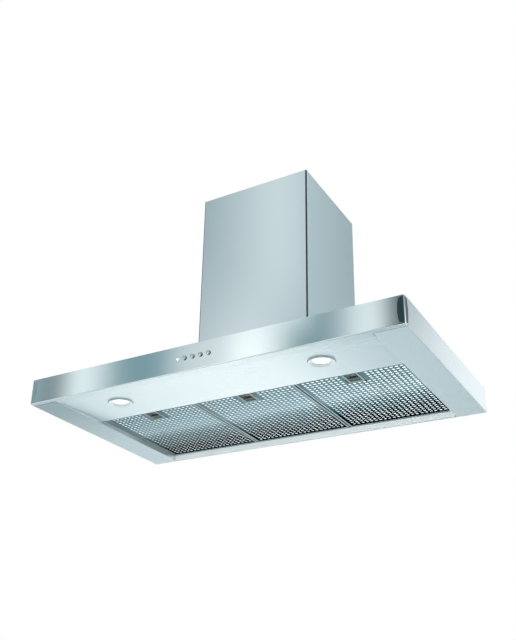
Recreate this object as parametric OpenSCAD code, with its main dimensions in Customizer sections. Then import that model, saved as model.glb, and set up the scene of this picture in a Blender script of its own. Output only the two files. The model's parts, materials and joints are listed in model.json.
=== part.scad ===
// Wall chimney range hood, T shape: a flat canopy with three grease filters, two lamps and four
// push buttons, a telescopic chimney cover, and a centrifugal blower with a non-return damper.
// Origin: on the wall plane, midway between the sides, level with the canopy's underside.
// X runs to the right, Y towards the wall, Z up. Millimetres.

/* [Canopy] */
// Width of the canopy
canopy_w = 900; // [890:5:1000]
// Depth of the canopy from its front face to the wall
canopy_d = 500; // [500:1:520]
// Height of the canopy's front face
canopy_h = 60; // [60:1:80]
// Thickness of the canopy's sheet
sheet = 1.2; // [0.8:0.1:1.5]
// Radius of the two front corners
edge_r = 3; // [2:0.5:6]
// How far a corner piece reaches along the front face and along the side
corner_w = 16; // [12:1:20]
// Depth of the hem under the front face, beside the side flanges
hem_d = 10; // [8:1:14]
// Depth of the wider strip behind the front face, between the side flanges
strip_d = 27; // [22:1:32]
// Width of the flange under each side
flange_w = 68; // [60:1:68]
// Height of the lamp panel's front edge above the underside
lamp_panel_front = 2; // [2:0.5:5]
// Height of the lamp panel's rear edge above the underside
lamp_panel_rear = 9; // [7:0.5:9]

/* [Filters] */
// Width of one filter cassette
filter_w = 250; // [240:1:252]
// Depth of one filter cassette
filter_d = 306; // [300:1:306]
// Thickness of one filter cassette
filter_t = 10; // [10:1:12]
// Distance between the middles of neighbouring cassettes
filter_pitch = 254; // [252:1:256]
// Height of the cassettes' lower face above the underside
filter_z = 13.3; // [13.3:0.1:15]
// Columns of holes in a filter face
hole_columns = 21; // [15:2:21]
// Rows of holes in a filter face
hole_rows = 25; // [15:1:25]
// Distance between columns of holes
hole_pitch_x = 11.1; // [10:0.1:11.2]
// Distance between rows of holes
hole_pitch_y = 11.4; // [10:0.1:11.5]
// Width of one hole
hole_w = 7.5; // [5:0.1:8]
// Length of one hole
hole_l = 7.8; // [5:0.1:8]
// How far a latch travels each way from its middle place
latch_travel = 3.5; // [2:0.5:4]

/* [Lamps] */
// Distance of each lamp from the middle of the hood
lamp_x = 250; // [200:5:300]
// How far both lamps are moved over to the left
lamp_shift = 10; // [0:1:12]
// Distance of the lamps behind the front face
lamp_back = 91; // [80:1:95]
// Outside diameter of a lamp bezel
lamp_d = 58; // [50:1:66]

/* [Controls] */
// Distance between neighbouring buttons
button_pitch = 19.5; // [17:0.5:22]
// Place of the first button along the width
first_button_x = -28; // [-40:1:-20]
// Distance from the indicator light to the first button
indicator_gap = 17.5; // [15:0.5:20]
// Diameter of a button
button_d = 9.2; // [8:0.1:11]
// How far a button moves when it is pressed
button_travel = 2.5; // [1:0.5:2.5]
// How far a button stands out of the front face
button_out = 3.2; // [3:0.1:6]
// Height of the buttons above the underside
button_z = 31; // [26:1:34]

/* [Chimney] */
// Width of the lower chimney cover
chimney_w = 292; // [292:1:320]
// Depth of the lower chimney cover, from its front face to the wall
chimney_d = 277; // [277:1:300]
// Height of the lower chimney cover above the canopy
chimney_h = 528; // [450:1:700]
// Thickness of the chimney's sheet
chimney_t = 1; // [0.8:0.1:1.2]

/* [Blower] */
// Outside diameter of the duct collar
duct_d = 150; // [120:5:150]
// Diameter of the impeller
impeller_d = 148; // [130:2:148]
// Length of the impeller along its axle
impeller_l = 92; // [70:2:92]
// Number of blades on the impeller
blades = 30; // [20:2:36]
// Distance between the wall fixing holes, sideways
fixing_x = 200; // [160:5:220]
// Distance between the wall fixing holes, up and down
fixing_z = 180; // [150:5:200]

/* [Hidden] */
$fn = 64;
front = -canopy_d;
half_w = canopy_w / 2;
flange_x = half_w - flange_w;        // inner edge of a side flange
top_z = canopy_h - sheet;            // underside of the top panel
lip_h = 26;                          // height of the flange's inner lip
gap = 0.4;                           // clearance between sheets that only pass each other
cut = 1;                             // how far a cutting shape runs past what it cuts
return_h = 10;                       // height of the fascia's and the lamp panel's front returns

// Filters
filter_rear = -10;                               // rear edge of the cassettes, where they pivot
filter_front = filter_rear - filter_d;
frame_t = 0.9;                                   // thickness of the cassette's frame
frame_lip = 4;                                   // width of the frame's lower flange
face_z = filter_z + frame_t;                     // lower side of the perforated face
face_t = 1;
first_row_y = filter_front + 16;                 // middle of the front row of holes
plain_columns = 5;                               // holes left out round the latch
plain_rows = 4;
pocket_front = filter_front + frame_lip + 0.2;
pocket_l = 50;
pocket_w = 36;
pocket_wall = 1.2;
recess_w = 27;
recess_front = filter_front + 7;
recess_l = 43;
tongue_w = 12;
tongue_z = filter_z + 2.9;
tongue_t = 2;
spring_l = 10;
latch_rear = recess_front + recess_l - spring_l; // rear end of the latch's slider
tab_x = 80;                                      // place of each rear tab from the middle

// Lamp panel
panel_front_y = front + strip_d + 0.3;
panel_rear_y = filter_front - 1;
lamp_tilt = atan((lamp_panel_rear - lamp_panel_front) / (panel_rear_y - panel_front_y));
lamp_y = front + lamp_back;
lamp_z = lamp_panel_front + (lamp_y - panel_front_y) * tan(lamp_tilt);
lamp_r = lamp_d / 2;
lens_r = 21;                         // radius of the lens
lens_seat = 1.8;                     // height of the ledge the lens lies on, from the panel
window_r = 18;                       // radius of the hole the light shines through
bezel_h = 8;                         // how far a bezel reaches into the canopy

// Controls
button_r = button_d / 2;
indicator_x = first_button_x - indicator_gap;
indicator_r = 1.8;
collar_rear = 4;                     // rear of a button's collar, behind the front face
switch_x0 = indicator_x - 9;         // ends of the switch housing and its board
switch_x1 = first_button_x + 3 * button_pitch + 12;
switch_half_h = 15;
board_y = 22;                        // front of the switch board, behind the front face

// Chimney
chimney_top = canopy_h + chimney_h;
upper_gap = 0.6;                                 // clearance between the two covers
upper_w = chimney_w - 2 * chimney_t - 2 * upper_gap;
upper_y = chimney_t + upper_gap;                 // rear of the upper cover, in front of the wall
upper_d = chimney_d - chimney_t - upper_gap - upper_y;
bend_r = 3;

// Blower
box_w = 256;
box_d = 264;
box_top = 300;                                   // underside of the blower box's top plate
fan_y = -160;
fan_z = 175;
scroll_t = 2;
scroll_r0 = impeller_d / 2 + 6;
scroll_growth = 32;
tongue_a = 70;
scroll_half = impeller_l / 2 + 5;
outlet_in = scroll_r0 * cos(tongue_a);
outlet_out = scroll_r0 + scroll_growth;
outlet_h = box_top - fan_z;
duct_r = duct_d / 2;
duct_y = fan_y + (outlet_in + outlet_out) / 2;
collar_base = box_top + sheet;
collar_h = 50;
damper_z = collar_base + 12;
damper_y = 4;                        // distance of each flap's hinge line from the middle
damper_pin_x = duct_r - 8;           // inner end of the flaps' hinge pins
collar_wall = 2;
motor_r = 42;
bracket_t = 2;
motor_seat = -scroll_half - scroll_t - bracket_t;   // rear of the motor's bracket on the axle
shaft_r = 4;
inlet_r = 62;
fixing_r = 4;
fixing_mid = 180;                    // height of the middle of the four wall fixings
screw_x = box_w / 2 - 6;
screw_ys = [-240, -170, -100, -30];
screw_hole_r = 2.1;
wiring_y = -222;                     // capacitor and cable gland, behind the chimney's front
terminal_x = 70;                     // middle of the terminal box
terminal_h = 36;

STEEL = "#b4c3c8";
LIGHT_STEEL = "#d5dfe2";
ALUMINIUM = "#9aa9ae";
DARK = "#3a474d";
ZINC = "#a9b0b2";

FILTERS = ["left", "centre", "right"];

// ---------- helpers ----------

// A box between two opposite corners
module slab(low, high) {
    translate(low) cube(high - low);
}

// Extrudes a (y, z) outline along X, centred on x = 0
module along_x(length) {
    translate([-length / 2, 0, 0]) rotate([90, 0, 90]) linear_extrude(length) children();
}

// Puts children on the front face, with their +Z pointing out of it
module on_front(x, z) {
    translate([x, front, z]) rotate([90, 0, 0]) children();
}

// Mirrors children to the left (-1) or leaves them on the right (1)
module side(s) {
    mirror([s < 0 ? 1 : 0, 0, 0]) children();
}

function filter_x(i) = (i - 1) * filter_pitch;
function button_x(i) = first_button_x + i * button_pitch;

// Plan of the canopy with its two rounded front corners
module canopy_plan() {
    difference() {
        translate([-half_w, front]) square([canopy_w, canopy_d]);
        for (s = [-1, 1])
            difference() {
                translate([s * (half_w - edge_r / 2) - edge_r / 2, front]) square(edge_r);
                translate([s * (half_w - edge_r), front + edge_r]) circle(edge_r);
            }
    }
}

// ---------- canopy ----------

module front_fascia() {
    flat = half_w - corner_w;
    color(STEEL) difference() {
        union() {
            slab([-flat, front, 0], [flat, front + sheet, top_z]);
            intersection() {
                linear_extrude(sheet) canopy_plan();
                slab([-half_w, front, 0], [half_w, front + hem_d, sheet]);
            }
            slab([-flange_x + gap, front, 0], [flange_x - gap, front + strip_d, sheet]);
            slab([-flange_x + gap, front + strip_d - sheet, 0],
                [flange_x - gap, front + strip_d, return_h]);
        }
        for (i = [0:3])
            on_front(button_x(i), button_z)
                translate([0, 0, -sheet - cut]) cylinder(r = button_r + gap, h = sheet + 2 * cut);
        on_front(indicator_x, button_z)
            translate([0, 0, -sheet - cut]) cylinder(r = indicator_r + 0.2, h = sheet + 2 * cut);
    }
}

module side_panel(s) {
    color(STEEL) side(s) {
        slab([half_w - sheet, front + corner_w, 0], [half_w, -sheet, top_z]);
        slab([flange_x, front + hem_d + gap, 0], [half_w, -sheet, sheet]);
        slab([flange_x, front + hem_d + gap, 0], [flange_x + sheet, -sheet, lip_h]);
    }
}

// Angle that closes a front corner between hem and top panel
module corner_cap(s) {
    wall = 2;
    color(DARK) side(s) translate([0, 0, sheet]) linear_extrude(top_z - sheet)
        difference() {
            intersection() {
                canopy_plan();
                translate([half_w - corner_w, front]) square(corner_w);
            }
            translate([half_w - corner_w - cut, front + wall])
                square([corner_w - wall + cut, corner_w]);
        }
}

module top_panel() {
    edge = 14;
    opening_x = box_w / 2 - edge;
    color(STEEL) translate([0, 0, top_z]) linear_extrude(sheet) difference() {
        canopy_plan();
        translate([-opening_x, -box_d + edge]) square([2 * opening_x, box_d - 2 * edge]);
        for (s = [-1, 1], y = screw_ys)
            translate([s * screw_x, y]) circle(screw_hole_r);
    }
}

module rear_panel() {
    color(ZINC) slab([-half_w, -sheet, 0], [half_w, 0, top_z]);
}

// C-shaped rail in front of the rear panel; the filters' rear tabs rest on it
module filter_ledge() {
    color(LIGHT_STEEL) along_x(2 * flange_x - 1) {
        translate([filter_rear + gap, 0]) square([-filter_rear - gap - sheet, sheet]);
        translate([filter_rear + gap, 0]) square([sheet, filter_z - gap]);
        translate([filter_rear + gap, filter_z - gap - sheet])
            square([-filter_rear - gap - sheet, sheet]);
    }
}

module lamp_panel() {
    keeper_w = tongue_w + 4;
    rear_flange = 12;
    color(LIGHT_STEEL) difference() {
        along_x(2 * flange_x - 1) {
            polygon([[panel_front_y, lamp_panel_front], [panel_rear_y - sheet, lamp_panel_rear],
                [panel_rear_y - sheet, lamp_panel_rear + sheet],
                [panel_front_y, lamp_panel_front + sheet]]);
            translate([panel_front_y, lamp_panel_front]) square([sheet, return_h]);
            translate([panel_rear_y - sheet, lamp_panel_rear])
                square([sheet, lip_h - lamp_panel_rear]);
            translate([panel_rear_y - rear_flange, lip_h - sheet]) square([rear_flange, sheet]);
        }
        for (s = [-1, 1])
            at_lamp(s) translate([0, 0, -4]) cylinder(r = lamp_r - 2, h = 8);
        for (i = [0:2])
            slab([filter_x(i) - keeper_w / 2, panel_rear_y - sheet - cut, tongue_z - 1],
                [filter_x(i) + keeper_w / 2, panel_rear_y + cut, tongue_z + tongue_t + 1]);
    }
}

// ---------- lamps ----------

// Puts children on the lamp panel, with their +Z square to its lower side and into the canopy
module at_lamp(s) {
    translate([s * lamp_x - lamp_shift, lamp_y, lamp_z]) rotate([lamp_tilt, 0, 0]) children();
}

module lamp_bezel(s) {
    body_r = lamp_r - 2.4;
    bore_r = lens_r + 0.3;
    color("#c3ccce") at_lamp(s) rotate_extrude()
        polygon([[lamp_r, 0], [lamp_r, -1], [lamp_r - 1.6, -3], [lamp_r - 4.5, -3],
            [window_r, lens_seat - 0.5], [window_r, lens_seat], [bore_r, lens_seat],
            [bore_r, bezel_h], [body_r, bezel_h], [body_r, 0]]);
}

module lamp_lens(s) {
    color("#fbfdfb") at_lamp(s) translate([0, 0, lens_seat]) cylinder(r = lens_r, h = 2.5);
}

// Can that holds the bulb above the lens
module lamp_holder(s) {
    can_r = 24.5;
    can_h = 22;
    wall = 2;
    color("#8d9698") at_lamp(s) translate([0, 0, bezel_h]) difference() {
        union() {
            cylinder(r = can_r, h = can_h);
            translate([0, 0, can_h]) cylinder(r = 9, h = 6);
        }
        translate([0, 0, -cut]) cylinder(r = can_r - wall, h = can_h - wall + cut + 0.5);
    }
}

// ---------- controls ----------

module indicator_lens() {
    color("white") on_front(indicator_x, button_z)
        translate([0, 0, -11]) cylinder(r = indicator_r, h = 11.6);
}

module switch_housing() {
    depth = 13;
    recess = collar_rear + button_travel + 1.5;
    stud_in = 4;
    color("#2c3236") difference() {
        union() {
            slab([switch_x0, front + sheet, button_z - switch_half_h],
                [switch_x1, front + depth, button_z + switch_half_h]);
            for (x = [switch_x0 + stud_in, switch_x1 - stud_in], e = [-1, 1])
                on_front(x, button_z + e * (switch_half_h - stud_in))
                    translate([0, 0, -board_y]) cylinder(r = 2.5, h = board_y - depth + cut);
        }
        for (i = [0:3]) on_front(button_x(i), button_z) {
            translate([0, 0, -recess]) cylinder(r = 7.2, h = recess);
            translate([0, 0, -depth - cut]) cylinder(r = 3, h = depth + cut);
        }
        on_front(indicator_x, button_z)
            translate([0, 0, -depth - cut]) cylinder(r = indicator_r + 0.2, h = depth + cut);
    }
}

// Circuit board with one switch behind each button and a light under the indicator
module switch_board() {
    key_w = 6;
    color("#2f6b4a") {
        slab([switch_x0, front + board_y, button_z - switch_half_h],
            [switch_x1, front + board_y + 1.6, button_z + switch_half_h]);
        for (i = [0:3])
            on_front(button_x(i), button_z)
                translate([-key_w / 2, -key_w / 2, -board_y]) cube([key_w, key_w, 3]);
        on_front(indicator_x, button_z) translate([0, 0, -board_y]) cylinder(r = 2, h = 5);
    }
}

// Push button with a retaining collar behind the front face and a stem to its switch
module button(i) {
    r = button_r;
    stem_r = 2.5;
    stem_end = board_y - 3 - button_travel - 0.5;
    collar_front = sheet + gap;
    collar_r = r + 1.4;
    color("#dfe6e8") on_front(button_x(i), button_z) rotate_extrude()
        polygon([[0, -stem_end], [stem_r, -stem_end], [stem_r, -collar_rear],
            [collar_r, -collar_rear], [collar_r, -collar_front], [r, -collar_front],
            [r, button_out - 1], [r - 0.3, button_out - 0.45], [r - 0.9, button_out - 0.1],
            [r - 1.6, button_out], [0, button_out]]);
}

// ---------- filters ----------

// Frame of folded channel with two rear tabs and a slot for the latch's tongue
module filter_frame(i) {
    w = filter_w / 2;
    top_lip = 6;
    tab_w = 16;
    tab_l = 6;
    color(LIGHT_STEEL) translate([filter_x(i), 0, 0]) {
        difference() {
            slab([-w, filter_front, filter_z], [w, filter_rear, filter_z + filter_t]);
            slab([-w + frame_t, filter_front + frame_t, filter_z + frame_t],
                [w - frame_t, filter_rear - frame_t, filter_z + filter_t - frame_t]);
            slab([-w + frame_lip, filter_front + frame_lip, filter_z - cut],
                [w - frame_lip, filter_rear - frame_lip, filter_z + frame_t + cut]);
            slab([-w + top_lip, filter_front + top_lip, filter_z + filter_t - frame_t - cut],
                [w - top_lip, filter_rear - top_lip, filter_z + filter_t + cut]);
            slab([-tongue_w / 2 - 0.5, filter_front - cut, tongue_z - gap],
                [tongue_w / 2 + 0.5, filter_front + frame_t + cut, tongue_z + tongue_t + gap]);
        }
        for (s = [-1, 1])
            slab([s * tab_x - tab_w / 2, filter_rear - frame_t, filter_z],
                [s * tab_x + tab_w / 2, filter_rear + tab_l, filter_z + 1.5]);
    }
}

// Perforated face, plain round the latch
module filter_face(i) {
    w = filter_w / 2 - frame_t;
    mid = (hole_columns - 1) / 2;
    around = pocket_wall + 0.2;
    color(ALUMINIUM) translate([filter_x(i), 0, face_z]) linear_extrude(face_t) difference() {
        translate([-w, filter_front + frame_t]) square([2 * w, filter_d - 2 * frame_t]);
        for (c = [0:hole_columns - 1], r = [0:hole_rows - 1])
            if (abs(c - mid) > plain_columns / 2 || r >= plain_rows)
                translate([(c - mid) * hole_pitch_x, first_row_y + r * hole_pitch_y])
                    square([hole_w, hole_l], center = true);
        translate([-recess_w / 2 - around, recess_front - around])
            square([recess_w + 2 * around, recess_l + 2 * around]);
    }
}

// Three layers of knitted aluminium mesh, drawn as thin plates
module filter_mesh(i) {
    inset = 2;
    w = filter_w / 2 - inset;
    spacing = 1.8;
    color("#c9d2d4") translate([filter_x(i), 0, 0]) for (layer = [0:2])
        translate([0, 0, face_z + 1.6 + layer * spacing]) linear_extrude(0.8) difference() {
            translate([-w, filter_front + inset]) square([2 * w, filter_d - 2 * inset]);
            translate([-pocket_w / 2 - 1, filter_front]) square([pocket_w + 2, pocket_l + 8]);
        }
}

// Open grid that closes the cassette on its upper side
module filter_back(i) {
    inset = frame_t + 0.2;
    w = filter_w / 2 - inset;
    cell_x = 24;
    cell_y = 23;
    bar = 3;
    first = 13;
    color(ALUMINIUM) translate([filter_x(i), 0, filter_z + filter_t - frame_t - 1])
        linear_extrude(0.9) difference() {
            translate([-w, filter_front + inset]) square([2 * w, filter_d - 2 * inset]);
            for (c = [-4.5:4.5], r = [0:12])
                translate([c * cell_x - (cell_x - bar) / 2, filter_front + first + cell_y * r])
                    square([cell_x - bar, cell_y - bar]);
        }
}

// Moulded pocket, open below, that the latch slides in
module latch_pocket(i) {
    rise = 7;
    wall = pocket_wall;
    color("#8b9a93") translate([filter_x(i), 0, filter_z]) difference() {
        union() {
            slab([-pocket_w / 2, pocket_front, 0], [pocket_w / 2, pocket_front + pocket_l, 0.8]);
            slab([-recess_w / 2 - wall, recess_front - wall, 0],
                [recess_w / 2 + wall, recess_front + recess_l + wall, rise]);
        }
        slab([-recess_w / 2, recess_front, -cut],
            [recess_w / 2, recess_front + recess_l, rise - wall]);
        slab([-tongue_w / 2 - 0.5, recess_front - wall - cut, tongue_z - filter_z - gap],
            [tongue_w / 2 + 0.5, recess_front + cut, tongue_z - filter_z + tongue_t + gap]);
    }
}

// Sprung latch: a tongue that goes into the lamp panel's keeper and a ridge for the finger
module latch_slider(i) {
    body_w = 20;
    body_front = recess_front + latch_travel + 0.6;
    grip_w = 24;
    grip_l = 6;
    grip_h = 2.4;
    hole_l = 10;
    color("#7d6a5c") translate([filter_x(i), 0, tongue_z]) {
        slab([-tongue_w / 2, filter_front, 0], [tongue_w / 2, body_front, tongue_t]);
        difference() {
            slab([-body_w / 2, body_front, 0], [body_w / 2, latch_rear, tongue_t]);
            slab([-tongue_w / 2, latch_rear - grip_l - hole_l, -cut],
                [tongue_w / 2, latch_rear - grip_l, tongue_t + cut]);
        }
        slab([-grip_w / 2, latch_rear - grip_l, -grip_h], [grip_w / 2, latch_rear, 0]);
    }
}

module latch_spring(i) {
    r = 1.5;
    wire = 0.5;
    start = latch_rear + 0.1;
    length = recess_front + recess_l - start;
    color("#9aa4a8") translate([filter_x(i), start, tongue_z + tongue_t / 2])
        rotate([-90, 0, 0]) difference() {
            cylinder(r = r, h = length);
            translate([0, 0, -cut]) cylinder(r = r - wire, h = length + 2 * cut);
        }
}

// ---------- chimney ----------

// Three-sided cover with folded rear edges; y runs from -rear to -rear - depth
module cover_plan(width, depth, rear, lip) {
    w = width / 2;
    difference() {
        cover_outline(w, depth, rear, bend_r);
        translate([0, -rear - depth + chimney_t])
            difference() {
                translate([-w + chimney_t, 0]) square([2 * (w - chimney_t), depth + cut]);
                for (s = [-1, 1])
                    inner_corner(s, w - chimney_t, bend_r - chimney_t);
            }
    }
    for (s = [-1, 1])
        translate([s * (w - lip / 2) - lip / 2, -rear - chimney_t]) square([lip, chimney_t]);
}

// Solid outline of a cover with two rounded front corners
module cover_outline(w, depth, rear, r) {
    translate([-w, -rear - depth + r]) square([2 * w, depth - r]);
    translate([-w + r, -rear - depth]) square([2 * (w - r), r]);
    for (s = [-1, 1])
        translate([s * (w - r), -rear - depth + r]) circle(r);
}

// The sheet left in an inside corner by its bend
module inner_corner(s, w, r) {
    difference() {
        translate([s * (w - r / 2) - r / 2, 0]) square(r);
        translate([s * (w - r), r]) circle(r);
    }
}

module chimney_lower() {
    color(STEEL) translate([0, 0, canopy_h]) linear_extrude(chimney_h)
        cover_plan(chimney_w, chimney_d, 0, 12);
}

// Telescopic cover, drawn down inside the lower one, with ventilation slots near its top
module chimney_upper() {
    raise = 2;
    slot = [34, 4];
    pitch = [60, 11];
    first = [-220, chimney_top - 90];
    color(STEEL) difference() {
        translate([0, 0, canopy_h + raise]) linear_extrude(chimney_h - raise)
            cover_plan(upper_w, upper_d, upper_y, 10);
        for (c = [0:2], r = [0:4])
            slab([-chimney_w, first[0] + c * pitch[0], first[1] + r * pitch[1]],
                [chimney_w, first[0] + c * pitch[0] + slot[0], first[1] + r * pitch[1] + slot[1]]);
    }
}

// Strip across the upper cover's open back, screwed to the wall under the ceiling
module chimney_bracket() {
    y = -upper_y - chimney_t;
    w = upper_w / 2 - chimney_t;
    half_h = 12;
    z = chimney_top - 22;
    hole_x = 60;
    color(ZINC) difference() {
        slab([-w, y - sheet, z - half_h], [w, y, z + half_h]);
        for (s = [-1, 1])
            translate([s * hole_x, y - sheet - cut, z]) rotate([-90, 0, 0])
                cylinder(r = 2.5, h = sheet + 2 * cut);
    }
}

// ---------- blower ----------

// Steel box that hangs on the wall, open below to the canopy
module blower_box() {
    w = box_w / 2;
    rim = 12;
    color(ZINC) difference() {
        slab([-w, -box_d, canopy_h], [w, 0, box_top + sheet]);
        slab([-w + sheet, -box_d + sheet, canopy_h + sheet], [w - sheet, -sheet, box_top]);
        slab([-w + rim, -box_d + rim, canopy_h - cut], [w - rim, -rim, canopy_h + sheet + cut]);
        slab([-scroll_half, fan_y + outlet_in, box_top - cut],
            [scroll_half, fan_y + outlet_out, box_top + sheet + cut]);
        for (s = [-1, 1], z = [-1, 1])
            translate([s * fixing_x / 2, -sheet - cut, fixing_mid + z * fixing_z / 2])
                rotate([-90, 0, 0]) cylinder(r = fixing_r, h = sheet + 2 * cut);
        for (s = [-1, 1], y = screw_ys)
            translate([s * screw_x, y, canopy_h - cut])
                cylinder(r = screw_hole_r, h = sheet + 2 * cut);
    }
}

function spiral(extra) = [for (a = [tongue_a:10:360])
    let (r = scroll_r0 + extra + scroll_growth * (a - tongue_a) / (360 - tongue_a))
    [r * cos(a), r * sin(a)]];

// Half of the snail-shaped blower housing; its outlet is at the top
module scroll_half_shell(s) {
    color("#4a5257") translate([0, fan_y, fan_z]) side(s) difference() {
        rotate([90, 0, 90]) linear_extrude(scroll_half + scroll_t)
            polygon(concat(spiral(scroll_t), [[outlet_out + scroll_t, outlet_h],
                [outlet_in - scroll_t, outlet_h]]));
        rotate([90, 0, 90]) translate([0, 0, -cut]) linear_extrude(scroll_half + cut)
            polygon(concat(spiral(0),
                [[outlet_out, outlet_h + cut], [outlet_in, outlet_h + cut]]));
        rotate([0, 90, 0]) cylinder(r = inlet_r, h = scroll_half + scroll_t + cut);
    }
}

// Puts children on the fan's axle, with their +Z along +X
module on_axle() {
    translate([0, fan_y, fan_z]) rotate([0, 90, 0]) children();
}

module motor() {
    front_end = -8;
    flange_t = 3;
    boss_h = 11;
    color("#6f7a80") on_axle() difference() {
        union() {
            translate([0, 0, motor_seat]) cylinder(r = motor_r, h = front_end - motor_seat);
            translate([0, 0, motor_seat - flange_t]) cylinder(r = motor_r + 6, h = flange_t);
            translate([0, 0, motor_seat - boss_h]) cylinder(r = 16, h = boss_h);
        }
        translate([0, 0, motor_seat - boss_h - cut])
            cylinder(r = shaft_r + 0.05, h = front_end - motor_seat + boss_h + 2 * cut);
    }
}

// Three-armed spider that carries the motor in the left inlet
module motor_bracket() {
    arm = [34, 12];
    color(ZINC) on_axle() translate([0, 0, motor_seat]) difference() {
        union() {
            cylinder(r = motor_r + 8, h = bracket_t);
            for (a = [0, 120, 240])
                rotate([0, 0, a]) translate([motor_r, -arm[1] / 2, 0])
                    cube([arm[0], arm[1], bracket_t]);
        }
        translate([0, 0, -cut]) cylinder(r = motor_r + 0.3, h = bracket_t + 2 * cut);
    }
}

module motor_shaft() {
    color("#b9c0c3") on_axle() translate([0, 0, -70]) cylinder(r = shaft_r, h = 84);
}

// Double-inlet wheel: a middle disc, a ring at each end and straight blades
module impeller() {
    r = impeller_d / 2;
    blade_in = r - 13;
    blade = [11.5, 1.2];
    half = impeller_l / 2;
    ring_t = 2;
    hub_rear = -5;
    hub_l = 17;
    color("#e4e8e8") on_axle() {
        difference() {
            union() {
                translate([0, 0, -ring_t / 2]) cylinder(r = r - 2, h = ring_t);
                translate([0, 0, hub_rear]) cylinder(r = 9, h = hub_l);
            }
            translate([0, 0, hub_rear - cut]) cylinder(r = shaft_r + 0.02, h = hub_l + 2 * cut);
        }
        for (z = [-half, half - ring_t])
            translate([0, 0, z]) difference() {
                cylinder(r = r, h = ring_t);
                translate([0, 0, -cut]) cylinder(r = blade_in, h = ring_t + 2 * cut);
            }
        for (b = [0:blades - 1])
            rotate([0, 0, b * 360 / blades])
                translate([blade_in + 0.5, -blade[1] / 2, -half + ring_t / 2])
                    cube([blade[0], blade[1], impeller_l - ring_t]);
    }
}

module capacitor() {
    r = 16;
    length = 58;
    x0 = -105;
    foot = [8, 20, 8];
    color("#d9dcd8") {
        translate([x0, wiring_y, collar_base + r + 1]) rotate([0, 90, 0])
            cylinder(r = r, h = length);
        for (x = [x0 + 5, x0 + length - foot[0] - 5])
            translate([x, wiring_y - foot[1] / 2, collar_base]) cube(foot);
    }
}

module terminal_box() {
    wall = 2;
    low = [terminal_x - 40, -255, collar_base];
    high = [terminal_x + 40, -190, collar_base + terminal_h];
    skin = [wall, wall, wall];
    color("#e7e7e0") difference() {
        slab(low, high);
        slab(low + skin, high - skin);
        translate([terminal_x, wiring_y, high[2] - wall - cut])
            cylinder(r = 5.5, h = wall + 2 * cut);
    }
}

// Strain relief for the mains lead, open for the cable
module cable_gland() {
    length = 18;
    color(DARK) translate([terminal_x, wiring_y, collar_base + terminal_h]) difference() {
        union() {
            cylinder(r = 10, h = 6);
            cylinder(r = 7.5, h = length);
        }
        translate([0, 0, -cut]) cylinder(r = 4.5, h = length + 2 * cut);
    }
}

// Round collar for the exhaust duct, with two lugs that carry the damper flaps' pins
module outlet_collar() {
    base = 82;
    color("#3d464b") translate([0, duct_y, collar_base]) {
        difference() {
            union() {
                slab([-base, -base, 0], [base, base, 2]);
                cylinder(r = duct_r, h = collar_h);
            }
            translate([0, 0, -cut]) cylinder(r = duct_r - collar_wall, h = collar_h + 2 * cut);
        }
        for (s = [-1, 1], y = [-damper_y, damper_y])
            side(s) translate([damper_pin_x, y, damper_z - collar_base]) rotate([0, 90, 0])
                cylinder(r = 1.5, h = 7);
    }
}

// Half-round flap that lies flat when the fan is off and lifts in the air stream
module damper_flap(s) {
    r = duct_r - collar_wall - 1.5;
    knuckle = 12;
    translate([0, duct_y, damper_z]) mirror([0, s < 0 ? 1 : 0, 0]) color("#59646a")
        difference() {
            union() {
                linear_extrude(1.2) intersection() {
                    circle(r);
                    translate([-r, 0.4]) square([2 * r, r]);
                }
                for (e = [-1, 1])
                    side(e) translate([damper_pin_x - knuckle, damper_y, 0])
                        rotate([0, 90, 0]) cylinder(r = 3, h = knuckle + 4);
            }
            for (e = [-1, 1])
                side(e) translate([damper_pin_x - 1, damper_y, 0])
                    rotate([0, 90, 0]) cylinder(r = 1.55, h = 12);
        }
}

// Screws that hold the blower box to the canopy
module box_screws() {
    color("#c5cbcd") for (s = [-1, 1], y = screw_ys)
        translate([s * screw_x, y, canopy_h + sheet]) {
            translate([0, 0, -9]) cylinder(r = screw_hole_r - 0.2, h = 9);
            cylinder(r = 4, h = 2.4);
        }
}

// ---------- assembly ----------

front_fascia();
side_panel(-1);  // side_panel_left
side_panel(1);  // side_panel_right
corner_cap(-1);  // corner_cap_left
corner_cap(1);  // corner_cap_right
top_panel();
rear_panel();
filter_ledge();
lamp_panel();
lamp_bezel(-1);  // lamp_bezel_left
lamp_bezel(1);  // lamp_bezel_right
lamp_lens(-1);  // lamp_lens_left
lamp_lens(1);  // lamp_lens_right
lamp_holder(-1);  // lamp_holder_left
lamp_holder(1);  // lamp_holder_right
indicator_lens();
switch_housing();
switch_board();
button(0);  // button_light
button(1);  // button_low
button(2);  // button_medium
button(3);  // button_high
for (i = [0:2]) {
    filter_frame(i);
    filter_face(i);
    filter_mesh(i);
    filter_back(i);
    latch_pocket(i);
    latch_slider(i);
    latch_spring(i);
}
chimney_lower();
chimney_upper();
chimney_bracket();
blower_box();
scroll_half_shell(-1);  // scroll_half_left
scroll_half_shell(1);  // scroll_half_right
motor();
motor_shaft();
motor_bracket();
impeller();
capacitor();
terminal_box();
cable_gland();
outlet_collar();
damper_flap(-1);  // damper_flap_front
damper_flap(1);  // damper_flap_rear
box_screws();
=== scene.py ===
import json
import math
import random

import bmesh
import bpy
from mathutils import Matrix, Vector


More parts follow.
